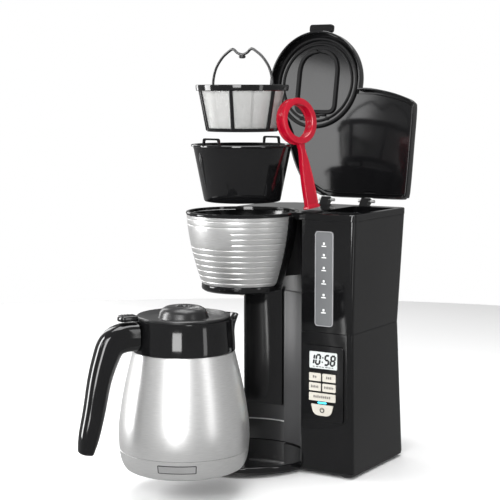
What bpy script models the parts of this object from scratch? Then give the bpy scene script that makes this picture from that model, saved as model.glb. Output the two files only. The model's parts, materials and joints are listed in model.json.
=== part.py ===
"""Drip coffee maker: a water tower, a brew head, a lift-out basket and filter, and a steel thermal carafe.

All dimensions are millimetres, turned into metres when a mesh is made. X runs to the right, Y to the back
and Z up. While it is modelled, the tower's front right edge stands at X = 0, Y = 0. At the end everything
is moved so that the origin lies under the middle of the whole object.
"""

import math

import bmesh
import bpy
from mathutils import Matrix, Vector

MM = 0.001
GAP = 0.3  # clearance between neighbouring pieces
WALL = 2.4  # moulded shell thickness
ROUND = 32  # sides of a large round piece
SMALL_ROUND = 16  # sides of a small round piece

FOOT_HEIGHT = 3.7
FOOT_SPOTS = [(-14, 16), (-14, 130), (-214, -30), (-166, 114)]
PAN_TOP = 6.7
PLATFORM_TOP = 13.8
WAIST = 182.0  # height of the seam where the tower is slimmest
DECK_BOTTOM = 322.0
DECK_TOP = 330.0

TOWER_LEFT = -74.0
TOWER_BACK = 147.0
WAIST_BACK = 134.0  # depth of the tower at its waist
WAIST_SIDE = -2.5  # how far the right side pulls in at the waist
CORD_HOLE = (-40, 24)  # middle of the cord's gland in the tower's back, as X and Z

BEZEL = (-69.5, -12.5, 70, 166)  # the control plate on the tower's front, as low X, high X, low Z, high Z
SCREEN = (-61, -21, 136.5, 158.5)
WINDOW = (-54, -28, 190, 309)
KEYS = [
    ("hour_key", (-60.5, -43.2, 120.8, 131.5)),
    ("minute_key", (-41.6, -22.5, 120.8, 131.5)),
    ("program_key", (-60.5, -43.2, 108.3, 119.0)),
    ("auto_key", (-41.6, -22.5, 108.3, 119.0)),
    ("strength_key", (-60.5, -22.5, 95.8, 106.5)),
]

BREW = Vector((-154.0, -10.0))  # the axis that brew head, basket, filter and seated carafe share
BAY_RADIUS = 88.0
COLUMN_LEFT = -199.0
COLUMN_CORNER = 60.0
PLATFORM_CENTRE = Vector((-165.0, 17.0))
PLATFORM_RADIUS = 92.0

HEAD_BOTTOM = 238.0
HEAD_TOP = 326.0
HEAD_LOW_RADIUS = 50.5
HEAD_TOP_RADIUS = 70.0
NOZZLE_RADIUS = 8.8

BASKET_BOTTOM = 342.0
BASKET_HEIGHT = 72.0
FILTER_BOTTOM = 430.0
FILTER_HEIGHT = 58.0
RIB_ANGLES = [-73 + 60 * index for index in range(6)]
BAIL_AXIS = -11.0  # direction of the bail's pivot line, in degrees from +X
BAIL_HEIGHT = 47.0

LID_AXIS = Vector((0.0, 150.0, 335.0))  # a point on the lid's hinge line, which runs along X
LID_OPEN = 100.0
LID_BOTTOM = 330.8
LID_TOP = 346.0
LID_RADIUS = 70.0
HINGE_LUGS = (("left", -120.0), ("right", -60.0))  # middle of each hinge lug along X
PIN_RADIUS = 2.0
LUG_HALF_WIDTH = 6.0

ARM_FOOT = Vector((-70.0, 20.0, 334.2))  # where the soft red spray arm stands on the deck
ARM_LEAN = (-7.9, -6.6, 74.0)  # how it leans and turns, in degrees about X, Y and Z
ARM_HEIGHT = 110.6  # from its foot to the middle of its ring
ARM_RING = 29.0
ARM_EYE = 21.0

CARAFE_REST = Vector((-150.0, -148.0, 32.0))
HANDLE_ANGLE = 240.0
CARAFE_RADII = [(0.8, 66.0), (3.0, 71.0), (12.0, 75.5), (24.0, 77.8), (40.0, 78.5), (60.0, 77.2)]
CARAFE_SHOULDER = [(90.0, 72.5), (118.0, 66.5), (142.0, 60.6)]
COLLAR_BOTTOM = 142.4
COLLAR_TOP = 181.0
HANDLE_SPINE = [(64.6, 163), (79, 162.5), (92, 156), (100, 140), (108, 115), (115, 80), (122, 50), (126, 32)]
HANDLE_THICK = [34, 34, 33, 30, 27, 25, 23, 17]
HANDLE_WIDE = [30, 28, 26, 25, 24, 24, 23, 18]

COLOURS = {
    "black_gloss": ((0.012, 0.012, 0.013), 0.12, 0.0),
    "black_satin": ((0.02, 0.02, 0.021), 0.42, 0.0),
    "steel": ((0.62, 0.62, 0.61), 0.32, 1.0),
    "red": ((0.42, 0.01, 0.03), 0.3, 0.0),
    "mesh": ((0.55, 0.55, 0.52), 0.4, 1.0),
    "clear": ((0.55, 0.6, 0.62), 0.08, 0.0),
    "lcd": ((0.55, 0.6, 0.58), 0.2, 0.0),
    "key": ((0.62, 0.58, 0.5), 0.45, 0.0),
    "lamp": ((0.1, 0.7, 0.9), 0.2, 0.0),
    "rubber": ((0.03, 0.03, 0.03), 0.8, 0.0),
    "board": ((0.02, 0.18, 0.07), 0.5, 0.0),
    "aluminium": ((0.7, 0.7, 0.72), 0.35, 1.0),
    "silicone": ((0.7, 0.68, 0.64), 0.5, 0.0),
}


# Outlines and mesh helpers


def polar(centre, radius, degrees):
    angle = math.radians(degrees)
    return Vector((centre[0] + radius * math.cos(angle), centre[1] + radius * math.sin(angle)))


def arc(centre, radius, start, end, steps):
    return [polar(centre, radius, start + (end - start) * step / steps) for step in range(steps + 1)]


def circle(centre, radius, steps=ROUND):
    return arc(centre, radius, 0, 360, steps)[:-1]


def rounded(corners, steps=4):
    """An outline through (x, y, reach) corners, each rounded off from reach before it to reach after it."""
    outline = []
    for index, (x, y, reach) in enumerate(corners):
        here = Vector((x, y))
        before = Vector(corners[index - 1][:2])
        after = Vector(corners[(index + 1) % len(corners)][:2])
        start = here + (before - here).normalized() * reach
        end = here + (after - here).normalized() * reach
        for step in range(steps + 1):
            t = step / steps
            outline.append(start * (1 - t) ** 2 + here * (2 * t * (1 - t)) + end * t**2)
    return outline


def box_outline(x0, x1, y0, y1, reach):
    return rounded([(x0, y0, reach), (x1, y0, reach), (x1, y1, reach), (x0, y1, reach)])


def inset(outline, distance):
    """An anticlockwise outline moved inward by the distance."""
    moved = []
    for index, here in enumerate(outline):
        first = (here - outline[index - 1]).normalized()
        second = (outline[(index + 1) % len(outline)] - here).normalized()
        side = Vector((-first.y, first.x))
        middle = (side + Vector((-second.y, second.x))).normalized()
        moved.append(here + middle * distance / max(0.5, middle.dot(side)))
    return moved


def at(outline, height):
    return [Vector((point.x, point.y, height)) for point in outline]


def material(slot):
    found = bpy.data.materials.get(slot)
    if found:
        return found
    colour, roughness, metallic = COLOURS[slot]
    made = bpy.data.materials.new(slot)
    made.use_nodes = True
    shader = made.node_tree.nodes["Principled BSDF"]
    shader.inputs["Base Color"].default_value = (*colour, 1.0)
    shader.inputs["Roughness"].default_value = roughness
    shader.inputs["Metallic"].default_value = metallic
    return made


def place(name, data, slot, pivot=None, parent=None):
    """Adds the object with its origin at pivot, which its points are already counted from."""
    made = bpy.data.objects.new(name, data)
    data.materials.append(material(slot))
    bpy.context.scene.collection.objects.link(made)
    made.location = Vector(pivot or (0, 0, 0)) * MM
    made.parent = parent
    return made


def skin(name, sections, slot, closed=False, pivot=None, parent=None):
    """A solid through loops of equal length, capped at both ends, or joined end to end when closed."""
    mesh = bmesh.new()
    start = Vector(pivot or (0, 0, 0))
    rings = [[mesh.verts.new((Vector(point) - start) * MM) for point in section] for section in sections]
    pairs = list(zip(rings, rings[1:]))
    if closed:
        pairs.append((rings[-1], rings[0]))
    for lower, upper in pairs:
        for index in range(len(lower)):
            mesh.faces.new((lower[index - 1], lower[index], upper[index], upper[index - 1]))
    if not closed:
        mesh.faces.new(rings[0])
        mesh.faces.new(rings[-1])
    bmesh.ops.recalc_face_normals(mesh, faces=mesh.faces)
    if mesh.calc_volume(signed=True) < 0:
        bmesh.ops.reverse_faces(mesh, faces=mesh.faces)
    data = bpy.data.meshes.new(name)
    mesh.to_mesh(data)
    mesh.free()
    data.shade_smooth()
    data.set_sharp_from_angle(angle=math.radians(35))
    return place(name, data, slot, pivot, parent)


def turn(name, profile, slot, centre=BREW, start=0, end=360, steps=ROUND, pivot=None, parent=None):
    """A profile of (radius, height) points turned round an upright axis, which it doesn't touch."""
    whole = abs(end - start) >= 360
    count = steps if whole else steps + 1
    sections = []
    for step in range(count):
        angle = start + (end - start) * step / steps
        sections.append([(*polar(centre, radius, angle), height) for radius, height in profile])
    return skin(name, sections, slot, whole, pivot, parent)


def stack(name, profile, slot, centre=BREW, steps=ROUND, pivot=None, parent=None):
    """Circles of (radius, height) one on another, capped at both ends."""
    sections = [at(circle(centre, radius, steps), height) for radius, height in profile]
    return skin(name, sections, slot, False, pivot, parent)


def bar(name, outline, frame, low, high, slot, pivot=None, parent=None):
    """A flat outline carried by a matrix, from low to high along the matrix's own Z."""
    sections = [[frame @ point for point in at(outline, height)] for height in (low, high)]
    return skin(name, sections, slot, False, pivot, parent)


def tube(name, points, radius, slot, resolution=2, smooth=True, pivot=None, parent=None):
    """A round wire or hose along the points, on a smooth curve or on straight runs."""
    data = bpy.data.curves.new(name, "CURVE")
    data.dimensions = "3D"
    data.bevel_depth = radius * MM
    data.bevel_resolution = resolution
    data.use_fill_caps = True
    start = Vector(pivot or (0, 0, 0))
    route = catmull(points) if smooth else [Vector(point) for point in points]
    spline = data.splines.new("POLY")
    spline.points.add(len(route) - 1)
    for target, point in zip(spline.points, route):
        target.co = (*((point - start) * MM), 1.0)
    return place(name, data, slot, pivot, parent)


def catmull(points, steps=3):
    """Points of a smooth curve through the given ones."""
    route = [Vector(point) for point in points]
    padded = [route[0] * 2 - route[1], *route, route[-1] * 2 - route[-2]]
    smooth = []
    for p0, p1, p2, p3 in zip(padded, padded[1:], padded[2:], padded[3:]):
        for step in range(steps):
            t = step / steps
            bend = (p2 - p0) * t + (p0 * 2 - p1 * 5 + p2 * 4 - p3) * t**2
            bend += (p1 * 3 - p0 - p2 * 3 + p3) * t**3
            smooth.append(p1 + bend * 0.5)
    smooth.append(route[-1])
    return smooth


def cut(target, cutter):
    """Takes the cutter's shape out of the target."""
    cutter.hide_render = True
    cutter.display_type = "WIRE"
    modifier = target.modifiers.new("cut_" + cutter.name, "BOOLEAN")
    modifier.operation = "DIFFERENCE"
    modifier.object = cutter


def join(target, piece):
    """Makes an overlapping piece one moulding with the target."""
    piece.hide_render = True
    piece.display_type = "WIRE"
    modifier = target.modifiers.new("join_" + piece.name, "BOOLEAN")
    modifier.operation = "UNION"
    modifier.object = piece


def block(name, low, high, reach, slot="black_satin", parent=None):
    """An upright block with rounded vertical edges."""
    outline = box_outline(low[0], high[0], low[1], high[1], reach)
    return skin(name, [at(outline, low[2]), at(outline, high[2])], slot, parent=parent)


def facing_front(y):
    """A frame whose X and Y are the world's X and Z, and whose Z points forward from the plane Y = y."""
    return Matrix.Translation((0, y, 0)) @ Matrix.Rotation(math.radians(90), 4, "X")


def moving_frame(name, position, turned=(0, 0, 0)):
    """An empty on a joint's axis, turned by degrees about X, then Y, then Z."""
    empty = bpy.data.objects.new(name, None)
    bpy.context.scene.collection.objects.link(empty)
    empty.location = Vector(position) * MM
    empty.rotation_euler = [math.radians(angle) for angle in turned]
    return empty


# Plan outlines of the body


def squeeze(height):
    """0 at the foot and the deck of the tower, 1 at its waist."""
    if height < WAIST:
        return (height - PAN_TOP) / (WAIST - PAN_TOP)
    return (DECK_TOP - height) / (DECK_TOP - WAIST)


def back_at(height):
    return TOWER_BACK + (WAIST_BACK - TOWER_BACK) * squeeze(height)


def tower_outline(height, depth=0.0):
    """The tower's plan at a height, moved inward by depth."""
    right = WAIST_SIDE * squeeze(height) - depth
    back = back_at(height) - depth
    left = TOWER_LEFT + depth
    small = max(2 - depth, 0.6)
    front = [(left, depth, small), (right, depth, 7 - depth)]
    return rounded(front + [(right, back, 9 - depth), (left, back, small)])


def column_outline(height, depth=0.0):
    """The bay column's plan, hollowed in front by the bay's round wall, moved inward by depth."""
    right = TOWER_LEFT - GAP - depth
    left = COLUMN_LEFT + depth
    back = back_at(height) - depth
    radius = BAY_RADIUS + depth
    reach = math.sqrt(radius**2 - (right - BREW.x) ** 2)
    side = math.sqrt(radius**2 - (left - BREW.x) ** 2)
    first = math.degrees(math.atan2(side, left - BREW.x))
    last = math.degrees(math.atan2(reach, right - BREW.x))
    corners = [(right, BREW.y + reach, 0), (right, back, 1), (left, back, COLUMN_CORNER - depth)]
    corners.append((left, BREW.y + side, 0))
    return rounded(corners)[5:15] + arc(BREW, radius, first, last, 16)


def base_outline(right, front):
    """The platform's round front, run back into the column's and, with right at 0, the tower's footprint."""
    reach = math.degrees(math.asin((PLATFORM_CENTRE.y - front) / PLATFORM_RADIUS))
    sweep = arc(PLATFORM_CENTRE, PLATFORM_RADIUS, 115, 360 - reach, 40)
    left = sweep[0].x
    turn_in = TOWER_BACK - sweep[0].y - 1.0
    rear = [(right, front, 0), (right, TOWER_BACK, 8), (left, TOWER_BACK, turn_in), (left, front, 0)]
    return [Vector((right, front))] + rounded(rear)[5:15] + sweep


# Base, tower and column


def build_base():
    for number, spot in enumerate(FOOT_SPOTS, 1):
        stack(f"foot_{number}", [(7.5, 0), (8.5, 1.0), (8.5, FOOT_HEIGHT)], "rubber", spot, SMALL_ROUND)
    pan = inset(base_outline(0.0, 0.5), 0.8)
    skin("base_pan", [at(pan, FOOT_HEIGHT + GAP), at(pan, PAN_TOP)], "black_satin")
    edge = base_outline(TOWER_LEFT - GAP, 0.5)
    hollow = inset(edge, WALL)
    low = PAN_TOP + GAP
    sections = [at(hollow, PLATFORM_TOP - WALL), at(hollow, low), at(edge, low)]
    sections += [at(edge, PLATFORM_TOP - 2.0), at(inset(edge, 0.7), PLATFORM_TOP - 0.6)]
    sections += [at(inset(edge, 2.0), PLATFORM_TOP)]
    skin("platform_shell", sections, "black_gloss")


def shell_tube(name, outline_at, low, high, slot):
    """An open-ended shell between two heights, following outline_at."""
    outer = [at(outline_at(low), low), at(outline_at(high), high)]
    inner = [at(outline_at(high, WALL), high), at(outline_at(low, WALL), low)]
    return skin(name, outer + inner, slot, closed=True)


def build_tower():
    lower = shell_tube("tower_lower_shell", tower_outline, PAN_TOP + GAP, WAIST, "black_gloss")
    opening = box_outline(-65, -17, 75, 162, 3)
    cut(lower, bar("control_cutter", opening, facing_front(0), -6, 6, "black_satin"))
    gland = bar("gland_cutter", circle(CORD_HOLE, 6.4, 16), facing_front(140), -16, 16, "black_satin")
    cut(lower, gland)
    upper = shell_tube("tank_housing", tower_outline, WAIST + GAP, DECK_BOTTOM - GAP, "black_gloss")
    slot = box_outline(*WINDOW, 5)
    cut(upper, bar("window_cutter", slot, facing_front(0), -6, 6, "black_satin"))
    glass = inset(slot, GAP)
    bar("sight_window", glass, facing_front(0), -2.2, 0.9, "clear")
    tank_low = WAIST + 5
    tank_high = DECK_BOTTOM - 2 * GAP
    skins = []
    for depth, height in ((3.0, tank_low), (3.0, tank_high), (4.8, tank_high), (4.8, tank_low + 2)):
        skins.append(at(tower_outline(height, depth), height))
    skin("water_tank", skins, "clear")
    back = facing_front(back_at(CORD_HOLE[1]) - 0.2)
    bar("cord_gland", circle(CORD_HOLE, 6.0, 16), back, -4, 3.0, "rubber")


def build_column():
    shell_tube("bay_column", column_outline, PLATFORM_TOP + GAP, DECK_BOTTOM - GAP, "black_satin")
    profile = [(BAY_RADIUS - 3, 64), (BAY_RADIUS - GAP, 64), (BAY_RADIUS - GAP, 224), (BAY_RADIUS - 3, 224)]
    turn("bay_panel", profile, "black_gloss", start=84, end=119, steps=10)


def deck_outline():
    radius = HEAD_TOP_RADIUS + 1.4
    start = math.degrees(math.asin(-BREW.y / radius))
    side = math.sqrt(radius**2 - (COLUMN_LEFT - BREW.x) ** 2)
    end = math.degrees(math.atan2(side, COLUMN_LEFT - BREW.x))
    inner = arc(BREW, radius, end, start, 24)
    corner = inner[-1]
    corners = [(corner.x, 0, 0), (0, 0, 7), (0, TOWER_BACK, 9)]
    corners += [(COLUMN_LEFT, TOWER_BACK, COLUMN_CORNER), (COLUMN_LEFT, BREW.y + side, 0)]
    edge = rounded(corners)
    return edge[5:20] + inner


def build_deck():
    edge = deck_outline()
    sections = [at(edge, DECK_BOTTOM), at(edge, DECK_TOP - 0.8), at(inset(edge, 0.8), DECK_TOP)]
    deck = skin("deck_plate", sections, "black_gloss")
    mouth = block("mouth_cutter", (-67, 32, 310), (-7, 128, 340), 6)
    cut(deck, mouth)
    for name, x in HINGE_LUGS:
        build_lug(deck, name, x)


def build_lug(deck, name, x):
    """An upright ear on the deck that carries one end of the lid's hinge, and its pin."""
    side = Matrix(((0, 0, 1, x), (1, 0, 0, 0), (0, 1, 0, 0), (0, 0, 0, 1)))
    foot = 138.0
    ear = rounded([(foot, DECK_TOP - 2, 0.5), (146, DECK_TOP - 2, 0.5), (156, 335, 5), (147, 341, 4)])
    join(deck, bar(f"hinge_lug_{name}", ear, side, -LUG_HALF_WIDTH, LUG_HALF_WIDTH, "black_satin"))
    hole = circle(LID_AXIS.yz, PIN_RADIUS + GAP, 12)
    cut(deck, bar(f"lug_cutter_{name}", hole, side, -9, 9, "black_satin"))
    bar(f"hinge_pin_{name}", circle(LID_AXIS.yz, PIN_RADIUS, 12), side, -12, 12, "steel")


# Control panel


def build_controls():
    plate = box_outline(*BEZEL, 5)
    bezel = bar("control_bezel", plate, facing_front(-GAP), 0, 1.8, "black_gloss")
    screen = box_outline(*SCREEN, 2)
    cut(bezel, bar("screen_cutter", screen, facing_front(0), -4, 4, "lcd"))
    bar("display_screen", inset(screen, GAP), facing_front(0), -3.0, 1.2, "lcd")
    for name, edges in KEYS:
        build_key(bezel, name, box_outline(*edges, 1.2))
    power = rounded([(-57.5, 92.0, 1.0), (-54.0, 77.4, 8.0), (-29.0, 77.4, 8.0), (-25.5, 92.0, 1.0)], 6)
    build_key(bezel, "power_key", power)
    lens = box_outline(-47.5, -35.5, 93.2, 95.0, 0.6)
    bar("power_lamp", lens, facing_front(-GAP - 1.8 - GAP), 0, 0.5, "lamp")
    block("control_board", (-66, 9.0, 72), (-16, 10.6, 164), 0.4, "board")


def build_key(bezel, name, outline):
    cut(bezel, bar(name + "_cutter", outline, facing_front(0), -4, 4, "key"))
    middle = sum(outline, Vector((0, 0))) / len(outline)
    pivot = (middle.x, 0, middle.y)
    bar(name, inset(outline, GAP), facing_front(0), -2.0, 2.7, "key", pivot=pivot)


# Brew head


def head_radius(height):
    share = (height - HEAD_BOTTOM) / (HEAD_TOP - HEAD_BOTTOM)
    return HEAD_LOW_RADIUS + (HEAD_TOP_RADIUS - HEAD_LOW_RADIUS) * share


def cone_profile(low, high, inner, outer):
    """A conical wall between offsets inner and outer from the brew head's skin."""
    profile = [(head_radius(low) + inner, low), (head_radius(low) + outer, low)]
    return profile + [(head_radius(high) + outer, high), (head_radius(high) + inner, high)]


def build_head():
    floor = HEAD_BOTTOM - 4
    top = head_radius(HEAD_TOP)
    outer = [(9.2, floor), (head_radius(floor) - 1.2, floor), (top - 1.2, HEAD_TOP)]
    inner = [(top - 3.2, HEAD_TOP), (head_radius(floor) - 3.2, floor + WALL), (9.2, floor + WALL)]
    turn("head_shell", outer + inner, "black_satin")
    turn("steel_band", cone_profile(HEAD_BOTTOM, HEAD_TOP, -0.9, 0), "steel", start=-178, end=-2, steps=36)
    cowl = cone_profile(HEAD_BOTTOM, HEAD_TOP, -0.9, 1.1)
    turn("rear_cowl", cowl, "black_gloss", start=-1, end=181, steps=24)
    support = cone_profile(HEAD_BOTTOM + 4, HEAD_TOP - 6, 1.4, 0)
    support[1:3] = [(BAY_RADIUS - GAP, HEAD_BOTTOM + 4), (BAY_RADIUS - GAP, HEAD_TOP - 6)]
    turn("head_bracket", support, "black_satin", start=64, end=116, steps=8)
    rim = [(66.9, HEAD_TOP + GAP), (70.6, HEAD_TOP + GAP), (70.6, DECK_TOP - 0.8)]
    rim += [(69.8, DECK_TOP), (67.4, DECK_TOP), (66.9, DECK_TOP - 0.8)]
    turn("head_rim", rim, "black_gloss")
    ring = [(40, 229), (46.5, 228.6), (50.4, 231), (50.4, floor - GAP), (40, floor - GAP)]
    turn("head_base_ring", ring, "black_gloss")
    seat = floor + WALL + GAP
    nozzle = [(6, 225), (NOZZLE_RADIUS, 225), (NOZZLE_RADIUS, seat), (13, seat)]
    turn("drip_nozzle", nozzle + [(13, 239), (6, 239)], "black_satin", steps=SMALL_ROUND)
    pivot = (*BREW, 230)
    plunger = [(3.0, 222), (5.4, 224), (5.4, 239.4), (8.5, 239.4), (8.5, 241.6)]
    stack("drip_plunger", plunger, "silicone", steps=SMALL_ROUND, pivot=pivot)


# Basket, filter and bail, all lifted above the brew head


def build_basket():
    low = BASKET_BOTTOM
    top = low + BASKET_HEIGHT
    outer = [(6, low), (46.5, low), (48.5, low + 2), (62, top - 3), (64.4, top - 3), (64.4, top)]
    basket = turn("brew_basket", outer + [(60, top), (46.2, low + WALL), (6, low + WALL)], "black_gloss")
    valve = [(5.4, low - 2), (5.4, low + WALL + GAP), (9, low + WALL + GAP), (9, low + 5)]
    stack("basket_valve", valve, "silicone", steps=SMALL_ROUND)
    for name, angle in (("front", -95.0), ("back", 85.0)):
        join(basket, basket_loop(name, angle, top))


def basket_loop(name, angle, low):
    """An arched finger loop standing on the basket's rim."""
    spot = polar(BREW, 62.6, angle)
    turned = Matrix.Rotation(math.radians(angle + 90), 4, "Z")
    frame = Matrix.Translation((spot.x, spot.y, low)) @ turned @ Matrix.Rotation(math.radians(90), 4, "X")
    outer = rounded([(13.5, -1, 0.4), (12.5, 8.8, 3), (-12.5, 8.8, 3), (-13.5, -1, 0.4)])
    inner = rounded([(-10.8, -1, 0.4), (-10, 6.6, 2), (10, 6.6, 2), (10.8, -1, 0.4)])
    return bar(f"basket_loop_{name}", outer + inner, frame, -1.2, 1.2, "black_gloss")


def filter_radius(height):
    return 44.6 + 11.4 * (height - FILTER_BOTTOM) / FILTER_HEIGHT


def build_filter():
    low = FILTER_BOTTOM
    top = low + FILTER_HEIGHT
    outer = [(34, low), (filter_radius(low), low), (filter_radius(top - 3.5), top - 3.5)]
    outer += [(58.4, top - 3.5), (58.4, top)]
    inner = [(filter_radius(top) - 1.4, top), (filter_radius(low) - 1.4, low + 1.4), (34, low + 1.4)]
    frame = turn("filter_frame", outer + inner, "black_gloss", steps=36)
    window = [(38, low + 4.5), (62, low + 4.5), (62, top - 6.5), (38, top - 6.5)]
    for number, angle in enumerate(RIB_ANGLES, 1):
        start, end = angle + 2.6, angle + 57.4
        cutter = turn(f"window_cutter_{number}", window, "mesh", start=start, end=end, steps=5)
        cut(frame, cutter)
    tab = rounded([(-5, -6.5, 1), (5, -6.5, 1), (6, 0, 1), (-6, 0, 1)])
    spot = polar(BREW, 56.6, 62.0)
    turned = Matrix.Rotation(math.radians(152), 4, "Z") @ Matrix.Rotation(math.radians(90), 4, "X")
    spot_frame = Matrix.Translation((spot.x, spot.y, top - 0.5)) @ turned
    join(frame, bar("filter_tab", tab, spot_frame, -0.9, 0.9, "black_gloss"))
    floor = low + 1.4 + GAP
    sieve = [(filter_radius(floor) - 1.9, floor), (filter_radius(top - 1) - 1.8, top - 1)]
    sieve += [(filter_radius(top - 1) - 2.4, top - 1), (filter_radius(floor) - 2.6, floor + 0.7)]
    stack("filter_mesh", sieve, "mesh")
    build_bail(top - 3.0)


def build_bail(height):
    """The wire handle, upright, and the small grip held in its dip."""
    pivot = (*BREW, height)
    along = polar((0, 0), 1.0, BAIL_AXIS)
    shape = [(-51, 0), (-49, 14), (-42.5, 27), (-31, 38.5), (-16, BAIL_HEIGHT - 1), (-8, 42), (0, 39.5)]
    shape += [(-x, z) for x, z in shape[-2::-1]]
    points = [(BREW.x + along.x * x, BREW.y + along.y * x, height + z) for x, z in shape]
    tube("bail_wire", points, 1.3, "black_gloss", resolution=1, pivot=pivot)
    grip = [(1.5, height + 34.6), (4.2, height + 35.2), (4.2, height + 37.2), (1.5, height + 37.8)]
    stack("bail_grip", grip, "black_satin", steps=12, pivot=pivot)


# Lid, modelled closed in its hinge's frame and then swung open


def lid_outline():
    """The lid's plan: a disc over the brew head, run back and right into a panel over the tank."""
    sweep = arc(BREW, LID_RADIUS, 150, 367, 36)
    rest = [(-66, -1), (-38, 4), (-16, 10.5), (-5, 16), (-1.5, 25), (-1, 136), (-5, 143), (-12, 145.5)]
    rest += [(-118, 145.5), (-132, 143), (-152, 132), (-170, 108), (-184, 78), (-198, 48)]
    return sweep + [Vector(point) for point in rest]


def clear_lugs(target, lid):
    """Cuts room for the deck's two hinge lugs out of a piece of the lid."""
    side = Matrix(((0, 0, 1, 0), (1, 0, 0, 0), (0, 1, 0, 0), (0, 0, 0, 1)))
    room = box_outline(-14, 2, -8, 9, 1)
    half = LUG_HALF_WIDTH + 2
    for name, x in HINGE_LUGS:
        name = f"{target.name}_room_{name}"
        cut(target, bar(name, room, side, x - half, x + half, "black_satin", parent=lid))


def build_lid():
    lid = moving_frame("lid_hinge_frame", LID_AXIS, (-LID_OPEN, 0, 0))
    edge = lid_outline()

    def at_hinge(outline, height):
        return [point - LID_AXIS for point in at(outline, height)]

    hollow = inset(edge, WALL)
    ceiling = LID_TOP - WALL
    sections = [at_hinge(hollow, ceiling), at_hinge(hollow, LID_BOTTOM), at_hinge(edge, LID_BOTTOM)]
    sections += [at_hinge(edge, LID_TOP - 4), at_hinge(inset(edge, 1.4), LID_TOP - 1.2)]
    sections += [at_hinge(inset(edge, 4.5), LID_TOP)]
    shell = skin("lid_shell", sections, "black_gloss", parent=lid)
    clear_lugs(shell, lid)
    liner = inset(edge, WALL + 4.5)
    sections = [at_hinge(liner, ceiling - 2.2), at_hinge(liner, ceiling - GAP)]
    lining = skin("lid_liner", sections, "black_gloss", parent=lid)
    clear_lugs(lining, lid)
    low = ceiling - 2.2 - GAP
    centre = BREW - LID_AXIS.xy
    base = low - LID_AXIS.z
    ridge = [(59, base - 4.5), (62, base - 4.5), (62, base), (59, base)]
    turn("lid_seal", ridge, "rubber", centre=centre, start=26, end=334, steps=40, parent=lid)
    dome = [(33, base - 3.0), (36, base - 3.0), (36, base), (33, base)]
    turn("spray_recess_rim", dome, "black_gloss", centre=centre, start=30, end=330, steps=32, parent=lid)
    front = BREW.y - LID_RADIUS - LID_AXIS.y
    tab = box_outline(centre.x - 18, centre.x + 18, front - 10, front + 1.4, 4)
    tab_low = LID_TOP - LID_AXIS.z - 9
    join(shell, skin("lid_finger_tab", [at(tab, tab_low), at(tab, tab_low + 3)], "black_gloss", parent=lid))


# Soft red spray arm, modelled in its own upright frame


def build_arm():
    frame = moving_frame("spray_arm_frame", ARM_FOOT, ARM_LEAN)
    across = Matrix.Rotation(math.radians(90), 4, "X")
    middle = Vector((0, ARM_HEIGHT))
    head = arc(middle, ARM_RING, -72, 252, 18)
    stem = [(-4.5, ARM_HEIGHT - 36), (-9.5, 34), (-10.5, 0), (10.5, 0), (9.5, 34), (4.5, ARM_HEIGHT - 36)]
    arm = bar("spray_arm", head + [Vector(point) for point in stem], across, -5, 5, "red", parent=frame)
    eye = bar("spray_eye_cutter", circle(middle, ARM_EYE, 18), across, -9, 9, "red", parent=frame)
    cut(arm, eye)
    block("arm_socket", (-80, 9, DECK_TOP + GAP), (-58, 31, DECK_TOP + 1.2), 2, "black_satin")


# Works inside the tower


def build_works():
    loop = [(-56, 40, 60), (-56, 60, 38), (-56, 92, 38), (-40, 108, 38)]
    loop += [(-24, 92, 38), (-24, 60, 38), (-24, 40, 60)]
    tube("heater_tube", loop, 6.0, "aluminium", resolution=2)
    tube("inlet_hose", [(-56, 40, 70), (-56, 40, 100), (-50, 60, 140), (-44, 70, 184)], 5.0, "silicone")
    tube("riser_hose", [(-24, 40, 70), (-20, 30, 110), (-14, 34, 150), (-12, 60, 168)], 5.0, "silicone")
    block("thermostat", (-46, 66, 47), (-34, 78, 55), 2, "aluminium")
    block("power_board", (-60, 124, 36), (-20, 126, 96), 0.4, "board")


# Carafe


def collar_outline(radius, spout):
    """A circle with a pouring lip of the given length opposite the handle."""
    outline = []
    for step in range(36):
        angle = 360 * step / 36
        away = (angle - (HANDLE_ANGLE - 180) + 180) % 360 - 180
        lip = spout * math.exp(-((away / 17.0) ** 2))
        outline.append(polar((0, 0), radius + lip, angle))
    return outline


def build_carafe():
    body = moving_frame("carafe_frame", CARAFE_REST)
    axis = (0, 0)
    radii = CARAFE_RADII + CARAFE_SHOULDER
    seam = [(62.0, 0.0), (68.0, 0.2), (71.0, 3.0), (74.8, 10.0)]
    stack("carafe_base_cap", seam, "black_satin", axis, parent=body)
    outer = [(radius, height) for height, radius in radii if height > 11]
    outer[0] = (75.2, 10.0 + GAP)
    inner = [(radius - 1.4, height) for radius, height in outer[::-1]]
    inner[-1] = (inner[-1][0], 11.8)
    sections = [at(circle(axis, radius), height) for radius, height in outer + inner]
    skin("carafe_shell", sections, "steel", parent=body)
    flask = [(radius - 7.0, max(height, 15.0)) for radius, height in outer]
    hollow = [(radius - 1.2, height) for radius, height in flask[::-1]]
    hollow[-1] = (hollow[-1][0], 16.4)
    sections = [at(circle(axis, radius, 32), height) for radius, height in flask + hollow]
    skin("carafe_liner", sections, "steel", parent=body)
    build_collar(body)
    build_handle(body)
    build_carafe_lid(body)


def build_collar(body):
    low = COLLAR_BOTTOM
    rows = [(61.6, 0, low), (61.0, 1.0, low + 14), (59.5, 7.0, low + 28), (59.5, 12.5, COLLAR_TOP)]
    walls = [at(collar_outline(radius, lip), height) for radius, lip, height in rows]
    rows = [(57.0, 11.5, COLLAR_TOP), (56.5, 5.0, low + 28), (52.5, 0, low + 14), (52.0, 0, low)]
    walls += [at(collar_outline(radius, lip), height) for radius, lip, height in rows]
    skin("carafe_collar", walls, "black_gloss", closed=True, parent=body)


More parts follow.
